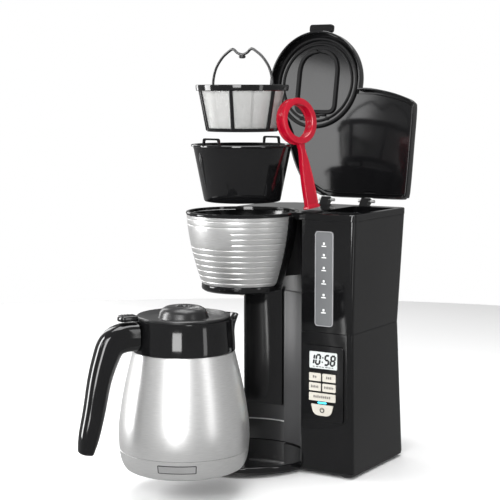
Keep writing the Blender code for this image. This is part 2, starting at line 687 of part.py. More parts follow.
def handle_section(centre, along, thick, wide):
    """A rounded section across the handle, square to its direction in the handle's upright plane."""
    radial = Vector((*polar((0, 0), 1.0, HANDLE_ANGLE), 0))
    sideways = Vector((-radial.y, radial.x, 0))
    up = Vector((0, 0, 1))
    across = radial * along[1] - up * along[0]
    middle = radial * centre[0] + up * centre[1]
    ring = []
    for step in range(16):
        angle = 2 * math.pi * step / 16
        x = math.copysign(abs(math.cos(angle)) ** 0.7, math.cos(angle))
        y = math.copysign(abs(math.sin(angle)) ** 0.7, math.sin(angle))
        ring.append(middle + across * (x * thick / 2) + sideways * (y * wide / 2))
    return ring


def build_handle(body):
    sections = []
    for index, point in enumerate(HANDLE_SPINE):
        before = HANDLE_SPINE[max(index - 1, 0)]
        after = HANDLE_SPINE[min(index + 1, len(HANDLE_SPINE) - 1)]
        run = Vector((after[0] - before[0], after[1] - before[1])).normalized()
        sections.append(handle_section(point, run, HANDLE_THICK[index], HANDLE_WIDE[index]))
    skin("carafe_handle", sections, "black_gloss", parent=body)
    radial = polar((0, 0), 1.0, HANDLE_ANGLE)
    pivot = Vector((radial.x * 66, radial.y * 66, 185.0))
    turned = Matrix.Rotation(math.radians(HANDLE_ANGLE), 4, "Z")
    frame = Matrix.Translation(pivot) @ turned
    lever = rounded([(-5, -8, 2), (16, -9, 4), (19, 0, 5), (16, 9, 4), (-5, 8, 2)])
    bar("thumb_lever", lever, frame, -1.6, 2.2, "black_gloss", pivot=pivot, parent=body)


def build_carafe_lid(body):
    low = COLLAR_TOP - 9
    rows = [(54.5, low), (55.8, COLLAR_TOP + 1), (54.0, COLLAR_TOP + 4.2), (30, COLLAR_TOP + 6.5)]
    rows += [(29.5, COLLAR_TOP + 9), (27, COLLAR_TOP + 12), (20, COLLAR_TOP + 14)]
    rows += [(7.5, COLLAR_TOP + 14.2), (6.5, COLLAR_TOP + 12), (6.5, low)]
    turn("carafe_lid", rows, "black_gloss", centre=(0, 0), pivot=(0, 0, low), parent=body)
    high = low - GAP
    ring = [(50.5, high - 3), (55.4, high - 3), (55.4, high), (50.5, high)]
    turn("carafe_gasket", ring, "silicone", centre=(0, 0), pivot=(0, 0, low), parent=body)


def centre_on_floor():
    """Moves every unparented object so that the origin is under the middle of the whole object."""
    bpy.context.view_layer.update()
    graph = bpy.context.evaluated_depsgraph_get()
    low = Vector((math.inf,) * 3)
    high = -low
    for item in bpy.context.scene.objects:
        if item.type == "EMPTY" or item.hide_render:
            continue
        solid = item.evaluated_get(graph)
        mesh = solid.to_mesh()
        for vertex in mesh.vertices:
            point = solid.matrix_world @ vertex.co
            low = Vector(map(min, low, point))
            high = Vector(map(max, high, point))
        solid.to_mesh_clear()
    shift = Vector(((low.x + high.x) / 2, (low.y + high.y) / 2, low.z))
    for item in bpy.context.scene.objects:
        if item.parent is None:
            item.location -= shift


def main():
    for item in list(bpy.data.objects):
        bpy.data.objects.remove(item, do_unlink=True)
    build_base()
    build_tower()
    build_column()
    build_deck()
    build_controls()
    build_head()
    build_basket()
    build_filter()
    build_lid()
    build_arm()
    build_works()
    build_carafe()
    centre_on_floor()


main()
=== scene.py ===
"""Looks for the drip coffee maker: smooth skins, procedural materials, studio light and camera."""
import json
import math

import bmesh
import bpy
from mathutils import Matrix, Vector


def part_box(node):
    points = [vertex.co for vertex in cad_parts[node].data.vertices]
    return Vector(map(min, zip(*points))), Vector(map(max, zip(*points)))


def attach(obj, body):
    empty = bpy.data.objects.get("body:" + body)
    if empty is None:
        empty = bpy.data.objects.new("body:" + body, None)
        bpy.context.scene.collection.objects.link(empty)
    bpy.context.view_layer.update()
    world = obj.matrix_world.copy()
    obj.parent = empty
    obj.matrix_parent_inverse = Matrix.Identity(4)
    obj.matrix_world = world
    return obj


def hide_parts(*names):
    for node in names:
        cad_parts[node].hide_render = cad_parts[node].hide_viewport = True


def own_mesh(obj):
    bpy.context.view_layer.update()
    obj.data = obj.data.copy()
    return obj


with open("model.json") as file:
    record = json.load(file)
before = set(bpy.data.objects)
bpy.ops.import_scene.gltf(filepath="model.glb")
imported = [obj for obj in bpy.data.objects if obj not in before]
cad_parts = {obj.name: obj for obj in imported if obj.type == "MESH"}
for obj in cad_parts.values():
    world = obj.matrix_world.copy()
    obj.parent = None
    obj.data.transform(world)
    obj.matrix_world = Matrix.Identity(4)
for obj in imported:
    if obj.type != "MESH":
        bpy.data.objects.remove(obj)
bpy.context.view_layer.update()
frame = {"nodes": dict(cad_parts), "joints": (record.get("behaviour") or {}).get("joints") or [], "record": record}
MM = 0.001
nodes = frame["nodes"]

# Places read from the frame, in metres


def middle(node):
    low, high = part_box(node)
    return (low + high) / 2


BREW = middle("head_rim")
CARAFE = middle("carafe_shell")
CARAFE_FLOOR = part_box("carafe_base_cap")[0].z
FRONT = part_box("tower_lower_shell")[0].y

# Directions round the carafe, from the row's right

HANDLE = math.radians(240)
SPOUT = math.radians(60)
BADGE_SIDE = math.radians(-62)
ROOM_LIGHT = 0.3


# Mesh helpers: lengths in millimetres from an origin in metres


def finish(name, mesh, origin, sharp=35, turn=None):
    bmesh.ops.recalc_face_normals(mesh, faces=mesh.faces)
    if mesh.calc_volume(signed=True) < 0:
        bmesh.ops.reverse_faces(mesh, faces=mesh.faces)
    data = bpy.data.meshes.new(name)
    mesh.to_mesh(data)
    mesh.free()
    place = Matrix.Translation(Vector(origin)) @ (turn or Matrix.Identity(4))
    data.transform(place @ Matrix.Scale(MM, 4))
    data.shade_smooth()
    data.set_sharp_from_angle(angle=math.radians(sharp))
    made = bpy.data.objects.new(name, data)
    bpy.context.scene.collection.objects.link(made)
    return made


def skin(name, sections, origin, closed=False, sharp=35, turn=None):
    """A surface through loops of equal length, capped, or joined end to end when closed."""
    mesh = bmesh.new()
    rings = [[mesh.verts.new(point) for point in section] for section in sections]
    pairs = list(zip(rings, rings[1:]))
    if closed:
        pairs.append((rings[-1], rings[0]))
    for lower, upper in pairs:
        for index in range(len(lower)):
            mesh.faces.new((lower[index - 1], lower[index], upper[index], upper[index - 1]))
    if not closed:
        mesh.faces.new(rings[0])
        mesh.faces.new(rings[-1])
    return finish(name, mesh, origin, sharp, turn)


def polar(radius, angle, height=0.0):
    return Vector((radius * math.cos(angle), radius * math.sin(angle), height))


def lathe(name, profile, origin, start=0.0, end=360.0, steps=96):
    """A closed profile of (radius, height) points turned about Z from start to end, in degrees."""
    whole = end - start >= 360
    sections = []
    for step in range(steps if whole else steps + 1):
        a = math.radians(start + (end - start) * step / steps)
        sections.append([polar(r, a, z) for r, z in profile])
    return skin(name, sections, origin, whole)


def angles(steps):
    return [2 * math.pi * step / steps for step in range(steps)]


def smooth_line(points, steps=6):
    """Points of a smooth curve through the given ones."""
    route = [Vector(point) for point in points]
    padded = [route[0] * 2 - route[1], *route, route[-1] * 2 - route[-2]]
    line = []
    for p0, p1, p2, p3 in zip(padded, padded[1:], padded[2:], padded[3:]):
        for step in range(steps):
            t = step / steps
            bend = (p2 - p0) * t + (p0 * 2 - p1 * 5 + p2 * 4 - p3) * t**2
            bend += (p1 * 3 - p0 - p2 * 3 + p3) * t**3
            line.append(p1 + bend * 0.5)
    line.append(route[-1])
    return line


def wire(name, points, radius, origin, sides=12):
    """A round bar along points, with one radius or a list of one for each point."""
    line = [Vector(point) for point in points]
    sections = []
    side = Vector((0, 0, 0))
    for index, here in enumerate(line):
        along = (line[min(index + 1, len(line) - 1)] - line[max(index - 1, 0)]).normalized()
        if side.length == 0:
            side = along.orthogonal().normalized()
        side = (side - along * side.dot(along)).normalized()
        other = along.cross(side)
        reach = radius[index] if isinstance(radius, list) else radius
        sections.append([here + (side * math.cos(a) + other * math.sin(a)) * reach for a in angles(sides)])
    return skin(name, sections, origin, False, 60)


def rounded(corners, steps=8):
    """A flat outline through (x, y, reach) corners, each cut back by its reach and curved."""
    outline = []
    for index, (x, y, reach) in enumerate(corners):
        here = Vector((x, y))
        before = Vector(corners[index - 1][:2])
        after = Vector(corners[(index + 1) % len(corners)][:2])
        start = here + (before - here).normalized() * reach
        end = here + (after - here).normalized() * reach
        for step in range(steps + 1):
            t = step / steps
            outline.append(start * (1 - t) ** 2 + here * (2 * t * (1 - t)) + end * t**2)
    return outline


def box_outline(x0, x1, y0, y1, reach, steps=8):
    return rounded([(x0, y0, reach), (x1, y0, reach), (x1, y1, reach), (x0, y1, reach)], steps)


def inset(outline, distance):
    """The outline moved inwards by a distance, or outwards by a negative one."""
    moved = []
    for index, here in enumerate(outline):
        first = (here - outline[index - 1]).normalized()
        second = (outline[(index + 1) % len(outline)] - here).normalized()
        side = Vector((-first.y, first.x))
        mid = (side + Vector((-second.y, second.x))).normalized()
        moved.append(here + mid * distance / max(0.5, mid.dot(side)))
    return moved


def at(outline, height):
    return [Vector((p.x, p.y, height)) for p in outline]


def plate(name, outline, origin, thickness, bevel=0.6, turn=None):
    """A flat piece with softened edges, from its outline's plane up."""
    sections = [at(inset(outline, bevel), 0), at(outline, bevel), at(outline, thickness - bevel)]
    sections += [at(inset(outline, bevel * 0.3), thickness - bevel * 0.3),
                 at(inset(outline, bevel), thickness)]
    return skin(name, sections, origin, False, 50, turn)


UPRIGHT = Matrix.Rotation(math.radians(90), 4, "X")  # plane X-Y becomes X-Z, and thickness runs forward


def show(piece, body, slot, look, *replaced):
    """Gives a piece its material and its body, and hides the CAD nodes that it stands for. The slot is not used.
    """
    piece.data.materials.clear()
    piece.data.materials.append(look)
    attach(piece, body)
    if replaced:
        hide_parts(*replaced)
    return piece


# Materials


class Look:
    """A Principled material and short ways to add nodes to it."""

    def __init__(self, name, colour, roughness, metallic=0.0, **settings):
        self.made = bpy.data.materials.new(name)
        self.made.use_nodes = True
        self.tree = self.made.node_tree
        self.shader = self.tree.nodes["Principled BSDF"]
        self.set("Base Color", (*colour, 1.0))
        self.set("Roughness", roughness)
        self.set("Metallic", metallic)
        for key, value in settings.items():
            self.set(key.replace("_", " "), value)

    def set(self, socket, value):
        self.shader.inputs[socket].default_value = value

    def add(self, kind, **settings):
        node = self.tree.nodes.new(kind)
        for key, value in settings.items():
            if hasattr(node, key):
                setattr(node, key, value)
            else:
                node.inputs[key.replace("_", " ")].default_value = value
        return node

    def link(self, source, output, target, socket):
        self.tree.links.new(source.outputs[output], target.inputs[socket])

    def coords(self, origin=(0, 0, 0)):
        """Object coordinates from an origin in metres."""
        place = self.add("ShaderNodeTexCoord")
        shift = self.add("ShaderNodeMapping")
        shift.inputs["Location"].default_value = [-o for o in origin]
        self.link(place, "Object", shift, "Vector")
        return shift

    def cylinder(self, centre):
        """The angle round an upright axis, and the node whose Z is the height."""
        split = self.add("ShaderNodeSeparateXYZ")
        self.link(self.coords(centre), "Vector", split, "Vector")
        angle = self.add("ShaderNodeMath", operation="ARCTAN2")
        self.link(split, "Y", angle, 0)
        self.link(split, "X", angle, 1)
        return angle, split

    def times(self, source, output, factor):
        node = self.add("ShaderNodeMath", operation="MULTIPLY")
        node.inputs[1].default_value = factor
        self.link(source, output, node, 0)
        return node

    def noise(self, vector, scale, detail=3.0):
        texture = self.add("ShaderNodeTexNoise", Scale=scale, Detail=detail)
        self.link(vector, "Vector", texture, "Vector")
        return texture

    def vary(self, texture, output, socket, low, high):
        """Drives a shader value from low to high."""
        spread = self.add("ShaderNodeMapRange")
        spread.inputs["To Min"].default_value = low
        spread.inputs["To Max"].default_value = high
        self.link(texture, output, spread, "Value")
        self.link(spread, "Result", self.shader, socket)

    def ramp(self, texture, output, stops):
        """Colours the base from two (position, colour) stops."""
        ramp = self.add("ShaderNodeValToRGB")
        for element, (position, colour) in zip(ramp.color_ramp.elements, stops):
            element.position = position
            element.color = (*colour, 1)
        self.link(texture, output, ramp, "Fac")
        self.link(ramp, "Color", self.shader, "Base Color")

    def bump(self, texture, output, strength, distance=0.0004):
        bump = self.add("ShaderNodeBump", Strength=strength, Distance=distance)
        self.link(texture, output, bump, "Height")
        self.link(bump, "Normal", self.shader, "Normal")


def moulded(name, colour, low, high, grain=900, strength=0.05, **settings):
    """Moulded plastic: faint flow marks in the gloss and a fine grain."""
    look = Look(name, colour, (low + high) / 2, **settings)
    space = look.coords()
    look.vary(look.noise(space, 14), "Fac", "Roughness", low, high)
    look.bump(look.noise(space, grain, 2), "Fac", strength)
    lighter = [min(1, c * 1.25 + 0.002) for c in colour]
    look.ramp(look.noise(space, 9, 4), "Fac", [(0.3, colour), (0.75, lighter)])
    return look.made


def brushed(name, centre, colour, low, high, streak=2600.0):
    """Steel brushed round an upright axis: streaks run round, fine steps up."""
    look = Look(name, colour, (low + high) / 2, 0.84, Anisotropic=0.3)
    angle, split = look.cylinder(centre)
    join = look.add("ShaderNodeCombineXYZ")
    look.link(look.times(angle, "Value", 6.0), "Value", join, "X")
    look.link(look.times(split, "Z", streak), "Value", join, "Y")
    streaks = look.add("ShaderNodeTexNoise", Scale=1.0, Detail=5.0)
    look.link(join, "Vector", streaks, "Vector")
    look.vary(streaks, "Fac", "Roughness", low, high)
    look.bump(streaks, "Fac", 0.03, 0.0001)
    darker = [c * 0.84 for c in colour]
    look.ramp(streaks, "Fac", [(0.3, darker), (0.7, colour)])
    return look.made


def woven(name, centre):
    """Fine steel gauze: wires round and up with open holes between them."""
    look = Look(name, (0.5, 0.5, 0.49), 0.4, 0.4)
    angle, split = look.cylinder(centre)
    waves = []
    for source, output, count in ((angle, "Value", 300.0), (split, "Z", 6200.0)):
        wave = look.add("ShaderNodeMath", operation="SINE")
        look.link(look.times(source, output, count), "Value", wave, 0)
        waves.append(wave)
    top = look.add("ShaderNodeMath", operation="MAXIMUM")
    look.link(waves[0], "Value", top, 0)
    look.link(waves[1], "Value", top, 1)
    look.vary(top, "Value", "Alpha", 0.3, 0.8)
    look.bump(top, "Value", 0.5, 0.0003)
    return look.made


BLACK = moulded("gloss_black_plastic", (0.003, 0.003, 0.0033), 0.05, 0.11, Specular_IOR_Level=0.5,
                strength=0.008)
INNER = moulded("inner_black_plastic", (0.004, 0.004, 0.0045), 0.12, 0.22, strength=0.03)
SATIN = moulded("satin_black_plastic", (0.007, 0.007, 0.0075), 0.3, 0.42, strength=0.12)
RED = moulded("red_silicone", (0.36, 0.002, 0.016), 0.14, 0.26, Specular_IOR_Level=0.6, strength=0.03)
KEY = moulded("cream_key_plastic", (0.45, 0.43, 0.38), 0.38, 0.5, strength=0.1)
RUBBER = moulded("foot_rubber", (0.02, 0.02, 0.02), 0.7, 0.9, grain=1600, strength=0.4)
SILICONE = moulded("clear_silicone", (0.66, 0.64, 0.6), 0.35, 0.5, Subsurface_Weight=0.2)
SCREEN = moulded("display_grey", (0.5, 0.53, 0.52), 0.12, 0.2, strength=0.01)
INK = moulded("display_segments", (0.004, 0.004, 0.005), 0.35, 0.45)
PRINT = moulded("key_print_ink", (0.14, 0.13, 0.12), 0.4, 0.5)
MARK = moulded("white_mark_ink", (0.85, 0.86, 0.86), 0.4, 0.5)
GLASS = moulded("smoked_window", (0.115, 0.118, 0.122), 0.16, 0.26, strength=0.02)
TRIM = moulded("window_rim_grey", (0.3, 0.3, 0.31), 0.16, 0.24, strength=0.01)
MATT = moulded("matt_black_plastic", (0.0025, 0.0025, 0.0028), 0.45, 0.6, Specular_IOR_Level=0.15,
               strength=0.05)
CAP = moulded("soft_black_plastic", (0.01, 0.01, 0.0105), 0.24, 0.34, strength=0.04)
SMOKE = moulded("smoky_lid_floor", (0.035, 0.035, 0.037), 0.14, 0.24, strength=0.02)
PILLAR = moulded("pillar_grey_black", (0.03, 0.03, 0.031), 0.34, 0.46, Specular_IOR_Level=0.25,
                 strength=0.03)
TANK = moulded("smoked_tank", (0.2, 0.21, 0.22), 0.12, 0.2, Transmission_Weight=0.5)
LAMP = moulded("cyan_lens", (0.03, 0.62, 0.85), 0.15, 0.25, Emission_Color=(0.1, 0.75, 1.0, 1.0),
               Emission_Strength=1.6)
BOARD = moulded("circuit_board_green", (0.015, 0.12, 0.05), 0.35, 0.5)
GREY = moulded("extruded_aluminium", (0.6, 0.6, 0.62), 0.3, 0.42, Metallic=1.0)
STEEL = brushed("brushed_steel_carafe", CARAFE, (0.78, 0.78, 0.775), 0.27, 0.37)
BAND = brushed("brushed_steel_band", BREW, (0.76, 0.76, 0.755), 0.26, 0.34, 1900.0)
LINER = brushed("brushed_steel_liner", CARAFE, (0.6, 0.6, 0.6), 0.3, 0.45)
GAUZE = woven("steel_gauze", BREW)
SLOT_LOOKS = {
    "black_gloss": BLACK, "black_satin": SATIN, "steel": STEEL, "red": RED, "mesh": GAUZE, "clear": TANK,
    "lcd": SCREEN, "key": KEY, "lamp": LAMP, "rubber": RUBBER, "board": BOARD, "aluminium": GREY,
    "silicone": SILICONE,
}


def paint_frame():
    """Every CAD node that stays gets its slot's material, welded points and softened edges."""
    for entry in frame["record"]["subparts"]:
        node = nodes[entry["node"]]
        node.data.materials.clear()
        node.data.materials.append(SLOT_LOOKS[entry["material_slot"]])
        weld = node.modifiers.new("weld", "WELD")
        weld.merge_threshold = 0.00002
        edge = node.modifiers.new("soft_edges", "BEVEL")
        edge.width = 0.35 * MM
        edge.segments = 2
        edge.limit_method = "ANGLE"
        edge.angle_limit = math.radians(40)
        node.data.shade_smooth()
        node.modifiers.new("even_shading", "WEIGHTED_NORMAL").weight = 80


# Carafe


def carafe_pieces():
    axis = Vector((CARAFE.x, CARAFE.y, CARAFE_FLOOR))
    wall = smooth_line([(77.6, 25.2, 0), (78.4, 40, 0), (77.2, 60, 0), (72.6, 90, 0), (66.6, 118, 0),
                        (60.7, 142, 0)], 5)
    outer = [(76.6, 24.9), *((v.x, v.y) for v in wall)]
    inner = [(r - 1.3, z) for r, z in reversed(outer)]
    show(lathe("carafe_body", outer + inner, axis, steps=144), "carafe", "steel", STEEL, "carafe_shell")
    low = [(66, 0.9), (68.4, 1.1), (70.6, 2.4), (72.6, 5.2), (74.4, 9.2), (75.8, 13.6), (76.8, 18.6),
           (77.5, 24.2), (76.9, 24.7)]
    low += [(75.2, 24.7), (75.0, 18.6), (73.2, 10), (70.0, 4.2), (66, 2.8)]
    show(lathe("carafe_lower_band", low, axis, steps=144), "carafe", "steel", STEEL)
    seam = [(74.6, 24.4), (76.7, 24.4), (76.7, 25.4), (74.6, 25.4)]
    show(lathe("carafe_seam", seam, axis, steps=144), "carafe", "black_satin", SATIN)
    plug = [(0.5, 2.4), (52, 2.4), (60, 0.6), (63, 0.0), (66.2, 0.2), (67.4, 1.0), (66.4, 2.6), (0.5, 3.6)]
    show(lathe("carafe_base_plate", plug, axis, steps=120), "carafe", "black_satin", SATIN,
         "carafe_base_cap")
    carafe_badge(axis)
    carafe_collar(axis)
    carafe_handle(axis)
    carafe_cap(axis)


# Name, half width in radians, low and high edge, rise and material
BADGE = (("frame", 0.3, 10.2, 20.2, 0.45, SATIN), ("face", 0.285, 11.0, 19.4, 0.75, LINER))


def carafe_badge(axis):
    """A plain framed badge low on the steel, facing front right."""
    for name, half, low, high, lift, look in BADGE:
        sections = []
        for z, rise in ((low, 0.0), (low + 0.4, lift), (high - 0.4, lift), (high, 0.0)):
            radius = 74.9 + (z - 10.0) * 0.205 + rise
            corner = 0.02 if z in (low, high) else 0.0
            steps = [BADGE_SIDE - half + corner + 2 * (half - corner) * i / 20 for i in range(21)]
            front = [polar(radius, a, z) for a in steps]
            back = [polar(radius - 1.5, a, z) for a in reversed(steps)]
            sections.append(front + back)
        show(skin("carafe_badge_" + name, sections, axis, sharp=40), "carafe", "steel", look)


LIP_SPREAD = 17.0  # degrees


def lipped(radius, lip, z):
    """A ring that swells by lip at the spout."""
    ring = []
    for a in angles(120):
        away = math.degrees((a - SPOUT + math.pi) % (2 * math.pi) - math.pi)
        ring.append(polar(radius + lip * math.exp(-((away / LIP_SPREAD) ** 2)), a, z))
    return ring


def carafe_collar(axis):
    outside = [(60.9, 0, 142.6), (61.5, 0, 143.2), (61.4, 0, 150), (60.9, 1, 156.4), (60.2, 3.4, 163),
               (59.6, 7, 170.4)]
    outside += [(59.4, 10.6, 177), (59.5, 12.2, 180.4), (59.0, 12.2, 181)]
    inside = [(57.4, 11.4, 180.8), (57.0, 9.4, 177), (56.6, 5, 170.4), (54.5, 1, 163), (52.6, 0, 156.4),
              (52.2, 0, 142.6)]
    walls = [lipped(r, lip, z) for r, lip, z in outside + inside]
    show(skin("carafe_neck", walls, axis, True, 40), "carafe", "black_gloss", BLACK, "carafe_collar")


GRIP_SQUARENESS = 0.72  # 1 is an ellipse, 0 a rectangle


def carafe_handle(axis):
    """The free-ended handle, with a rounded section that follows its spine."""
    radial = polar(1, HANDLE)
    sideways = Vector((-radial.y, radial.x, 0))
    up = Vector((0, 0, 1))
    spine = smooth_line([(62.0, 163, 0), (79, 162.5, 0), (92, 156, 0), (100, 140, 0), (108, 115, 0),
                         (115, 80, 0), (122, 50, 0), (126, 32, 0)], 7)
    widths = smooth_line([(34, 30, 0), (34, 29, 0), (33, 27, 0), (30, 26, 0), (27, 25, 0), (25, 24, 0),
                          (23, 23, 0), (18, 19, 0)], 7)
    sections = []
    for index, (spot, size) in enumerate(zip(spine, widths)):
        run = (spine[min(index + 1, len(spine) - 1)] - spine[max(index - 1, 0)]).normalized()
        across = radial * run.y - up * run.x
        centre = radial * spot.x + up * spot.y
        ring = []
        for a in angles(40):
            x = math.copysign(abs(math.cos(a)) ** GRIP_SQUARENESS, math.cos(a)) * size.x / 2
            y = math.copysign(abs(math.sin(a)) ** GRIP_SQUARENESS, math.sin(a)) * size.y / 2
            ring.append(centre + across * x + sideways * y)
        sections.append(ring)
    centre = sum(sections[-1], Vector()) / len(sections[-1])
    last = sections[-1]
    for share, drop in ((0.93, 1.2), (0.78, 2.3), (0.5, 3.0)):
        sections.append([centre + (p - centre) * share - up * drop for p in last])
    show(skin("carafe_grip", sections, axis, sharp=60), "carafe", "black_gloss", BLACK, "carafe_handle")
    carafe_lever(axis, radial, up)


def carafe_lever(axis, radial, up):
    pivot = axis + (radial * 66 + up * 185) * MM
    turn = Matrix.Rotation(HANDLE, 4, "Z")
    outline = rounded([(-4.6, -8, 2), (15.6, -9, 4), (18.6, 0, 5), (15.6, 9, 4), (-4.6, 8, 2)])
    rows = [at(inset(outline, 0.8), -2.8), at(outline, -2.0), at(outline, 1.6),
            at(inset(outline, 1.2), 3.4)]
    rows.append(at(inset(outline, 3.2), 4.0))
    show(skin("carafe_lever", rows, pivot, False, 50, turn), "lever", "black_gloss", BLACK, "thumb_lever")
    for number in range(3):
        bar = box_outline(4.0 + 3.4 * number, 5.4 + 3.4 * number, -4.6, 4.6, 0.5, 3)
        ridge = plate(f"lever_ridge_{number + 1}", bar, pivot + Vector((0, 0, 3.6 * MM)), 1.0, 0.25, turn)
        show(ridge, "lever", "black_gloss", SATIN)


def carafe_cap(axis):
    rows = [(54.4, 172), (55.7, 181.4), (55.6, 183.6), (54.2, 184.4), (51, 183.8), (44, 181.6), (33, 180.8),
            (30.4, 181.2)]
    rows += [(29.2, 183.4), (28.2, 187.4), (25.6, 191.4), (21, 194.0), (14.5, 195.1), (9.6, 194.9),
             (8.2, 194.0)]
    rows += [(7.2, 191), (6.8, 184), (6.8, 172)]
    show(lathe("carafe_cap_disc", rows, axis, steps=120), "carafe_cap", "black_gloss", CAP, "carafe_lid")


# Brew head


HEAD_LOW, HEAD_HIGH = 238, 326
BAND_LOW, BAND_HIGH = HEAD_LOW + 0.3, HEAD_HIGH - 0.3
BAND_START, BAND_SWEEP, BAND_STEPS = -177.8, 175.6, 132  # degrees, degrees, slices
BAND_CORNER = 6  # rounding of the lower corners
BAND_EDGE = 1.6  # softened width at each edge
BAND_MEAN = 58  # mean radius, for lengths along the band
GROOVES, GROOVE_PITCH = 12, 7.1


def head_radius(z):
    """The band's skin, a cone that swells a little at half height."""
    share = (z - HEAD_LOW) / (HEAD_HIGH - HEAD_LOW)
    return 50.5 + 19.5 * share + 13.0 * share * (1 - share)


GROOVE = ((-1.2, 0), (-0.8, 0.04), (-0.4, 0.62), (0, 0.8), (0.4, 0.62), (0.8, 0.04), (1.2, 0))


def grooved_rows():
    """(height, dip) of the band's rows, close together at each fine groove."""
    first = BAND_LOW + (BAND_HIGH - BAND_LOW - GROOVE_PITCH * (GROOVES - 1)) / 2
    rows = [(BAND_LOW, 0.0)]
    for number in range(GROOVES):
        for offset, dip in GROOVE:
            rows.append((first + GROOVE_PITCH * number + offset, dip))
    rows.append((BAND_HIGH, 0.0))
    return rows


def band_slice(degrees, from_end, rows):
    """One upright slice of the band, from_end millimetres from its nearer end."""
    a = math.radians(degrees)
    low = BAND_LOW
    if from_end < BAND_CORNER:
        low += BAND_CORNER - math.sqrt(BAND_CORNER**2 - (BAND_CORNER - from_end) ** 2)
    edge = 0.7 * max(0.0, 1 - from_end / BAND_EDGE) ** 2
    loop = []
    for number, (z, dip) in enumerate(rows):
        height = max(z, low + 0.01 * number)
        rounding = 0.8 * max(0.0, 1 - (height - low) / BAND_EDGE) ** 2
        r = head_radius(height) + 0.55 - rounding - edge - dip * (1 - badge_share(degrees, z))
        loop.append(polar(r, a, height))
    for z in (BAND_HIGH, 305.0, 282.0, 259.0, low):
        loop.append(polar(head_radius(z) - 1.1 - (0.4 if z < 240 else 0), a, z))
    return loop


def head_pieces():
    axis = Vector((BREW.x, BREW.y, 0))
    rows = grooved_rows()
    sections = []
    for step in range(BAND_STEPS + 1):
        degrees = BAND_START + BAND_SWEEP * step / BAND_STEPS
        from_end = min(step, BAND_STEPS - step) / BAND_STEPS * math.radians(BAND_SWEEP) * BAND_MEAN
        sections.append(band_slice(degrees, from_end, rows))
    show(skin("grooved_steel_band", sections, axis, sharp=50), "machine", "steel", BAND, "steel_band")
    rim = [(66.9, 326.4), (70.3, 326.4), (71.2, 327.2), (71.3, 328.6), (70.6, 329.7), (69.4, 330.1),
           (68, 330.1), (67.1, 329.6)]
    show(lathe("head_top_rim", rim, axis, steps=144), "machine", "black_gloss", BLACK, "head_rim")
    cowl = [(head_radius(238) - 0.9, 238.2)]
    cowl += [(head_radius(z) + 0.8, z) for z in (238.2, 250, 265, 282, 300, 315, 325.8)]
    cowl += [(head_radius(z) - 0.9, z) for z in (325.8, 315, 300, 282, 265, 250)]
    show(lathe("head_cowl", cowl, axis, -1, 181, 96), "machine", "black_gloss", BLACK, "rear_cowl")
    base = [(40, 229.4), (44, 228.9), (48.5, 229.6), (51.2, 231.6), (51.8, 233.5), (51.6, 237.6),
            (49.4, 237.8), (49.2, 233.7), (40, 233.7)]
    show(lathe("head_bottom_ring", base, axis, steps=144), "machine", "black_gloss", BLACK,
         "head_base_ring")
    lip = [(6.2, 225.2), (7.9, 224.8), (8.7, 225.6), (8.9, 228), (11.5, 229.6), (11.5, 233.4), (8.9, 233.4),
           (8.6, 239), (6.2, 239)]
    show(lathe("drip_spout", lip, axis, steps=48), "machine", "black_satin", SATIN, "drip_nozzle")
    inside = [(9.4, 234.3), (47.6, 234.3), (66.7, 325.8), (65.2, 325.8), (46, 236.6), (9.4, 236.6)]
    show(lathe("head_inner_cup", inside, axis, steps=120), "machine", "black_satin", INNER, "head_shell")


# The plain patch for a badge: middle, half size and fade, each in degrees round and in height
PATCH = ((-108, 38, 2.6), (299.5, 8.5, 1.5))


def badge_share(degrees, z):
    """1 on the plain patch between the grooves, 0 away from it."""
    share = 1.0
    for value, (centre, half, fade) in zip((degrees, z), PATCH):
        share *= math.exp(-((max(0.0, abs(value - centre) - half) / fade) ** 2))
    return share


# Basket, filter and bail


def basket_pieces():
    axis = Vector((BREW.x, BREW.y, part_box("brew_basket")[0].z))
    outer = [(6, 0), (44.5, 0), (47.2, 0.6), (48.4, 2.2), (61.2, 66.4), (61.9, 68.6), (63.8, 69.1),
             (64.4, 69.8), (64.4, 71.3)]
    inner = [(63.9, 71.9), (60.6, 72), (60.0, 71.4), (46.4, 3.2), (45, 2.4), (6, 2.4)]
    show(lathe("basket_cup", outer + inner, axis, steps=120), "basket", "black_gloss", BLACK, "brew_basket")
    for number, degrees in enumerate((-95, 85)):
        a = math.radians(degrees)
        turn = Matrix.Rotation(a + math.pi / 2, 4, "Z")
        spot = axis + polar(62.6, a, 71.4) * MM
        outer = rounded([(13.5, -1, 0.4), (12.6, 9.3, 3), (-12.6, 9.3, 3), (-13.5, -1, 0.4)], 6)
        inner = rounded([(-10.8, -1, 0.4), (-10, 7.0, 2), (10, 7.0, 2), (10.8, -1, 0.4)], 6)
        loop = plate_ring(f"basket_finger_loop_{number + 1}", outer, inner, spot, turn)
        show(loop, "basket", "black_gloss", BLACK)
    line = []
    for z in (16, 24, 34, 46, 56, 62):
        line.append(polar(48.6 + (z - 2.2) * 0.1995 - 0.2, math.radians(-118), z))
    slot = wire("basket_side_slot", line, [0.4, 0.7, 1.1, 1.9, 2.5, 0.6], axis)
    show(slot, "basket", "black_satin", SATIN)


def plate_ring(name, outer, inner, origin, turn):
    """An upright frame 2.4 mm thick between two outlines, one point of each opposite the other."""
    rows = []
    for depth in (-1.2, 1.2):
        rows.append([Vector((p.x, depth, p.y)) for p in outer + inner])
    return skin(name, rows, origin, False, 40, turn)


def filter_radius(z):
    return 44.6 + 11.4 * z / 58


